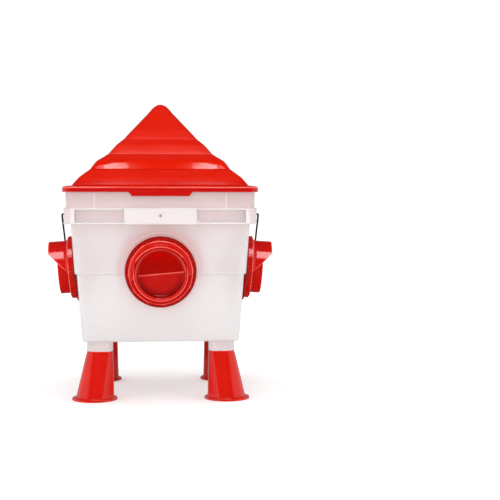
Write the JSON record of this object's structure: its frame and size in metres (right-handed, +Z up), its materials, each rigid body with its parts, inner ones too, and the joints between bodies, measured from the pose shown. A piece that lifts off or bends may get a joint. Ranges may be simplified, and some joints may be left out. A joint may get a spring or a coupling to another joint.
{
  "type": "gravity poultry feeder",
  "caption": "Square translucent feed hopper on flared feet, with a stepped pyramid lid, a wire bail, and a hooded feeding port on each wall.",
  "frame": {"origin": "on the ground plane, at the centre between the four feet", "axes": "+Z up, -Y out of the front port, +X to the right seen from the front; the bail's pivots lie along X"},
  "size_m": [0.3652, 0.366, 0.4672],
  "materials": {
    "milky": "satin, milky translucent",
    "red": "semi-gloss, fine moulded grain",
    "wire": "dull drawn wire",
    "grip": "satin",
    "rubber": "matte"
  },
  "bodies": {
    "hopper_body": {"hopper": "milky", "foot_front_left": "red", "foot_front_right": "red", "foot_rear_left": "red", "foot_rear_right": "red", "gasket_front": "rubber", "port_base_front": "red", "lock_nut_front": "red", "gasket_right": "rubber", "port_base_right": "red", "lock_nut_right": "red", "gasket_back": "rubber", "port_base_back": "red", "lock_nut_back": "red", "gasket_left": "rubber", "port_base_left": "red", "lock_nut_left": "red"},
    "lid_body": {"lid": "red"},
    "bail": {"bail_wire": "wire"},
    "grip": {"bail_grip": "grip"},
    "port_front": {"feed_tube_front": "red", "rain_hood_front": "red"},
    "port_right": {"feed_tube_right": "red", "rain_hood_right": "red"},
    "port_back": {"feed_tube_back": "red", "rain_hood_back": "red"},
    "port_left": {"feed_tube_left": "red", "rain_hood_left": "red"}
  },
  "joints": [
    {"name": "lid_lift", "type": "slide", "parent": "hopper_body", "child": "lid_body", "axis": [0, 0, 1], "range_m": [0, 0.16]},
    {"name": "bail_swing", "type": "hinge", "parent": "hopper_body", "child": "bail", "pos_m": [0, 0, 0.2885], "axis": [1, 0, 0], "range_deg": [0, 250.8]},
    {"name": "grip_spin", "type": "hinge", "parent": "bail", "child": "grip", "pos_m": [0, 0.17444, 0.16453], "axis": [1, 0, 0], "continuous": true},
    {"name": "port_front_twist", "type": "hinge", "parent": "hopper_body", "child": "port_front", "pos_m": [0, -0.13322, 0.202], "axis": [0, -0.9978, -0.0659], "range_deg": [-20, 45]},
    {"name": "port_right_twist", "type": "hinge", "parent": "hopper_body", "child": "port_right", "pos_m": [0.13322, 0, 0.202], "axis": [0.9978, 0, -0.0659], "range_deg": [-20, 45]},
    {"name": "port_back_twist", "type": "hinge", "parent": "hopper_body", "child": "port_back", "pos_m": [0, 0.13322, 0.202], "axis": [0, 0.9978, -0.0659], "range_deg": [-20, 45]},
    {"name": "port_left_twist", "type": "hinge", "parent": "hopper_body", "child": "port_left", "pos_m": [-0.13322, 0, 0.202], "axis": [-0.9978, 0, -0.0659], "range_deg": [-20, 45]}
  ]
}
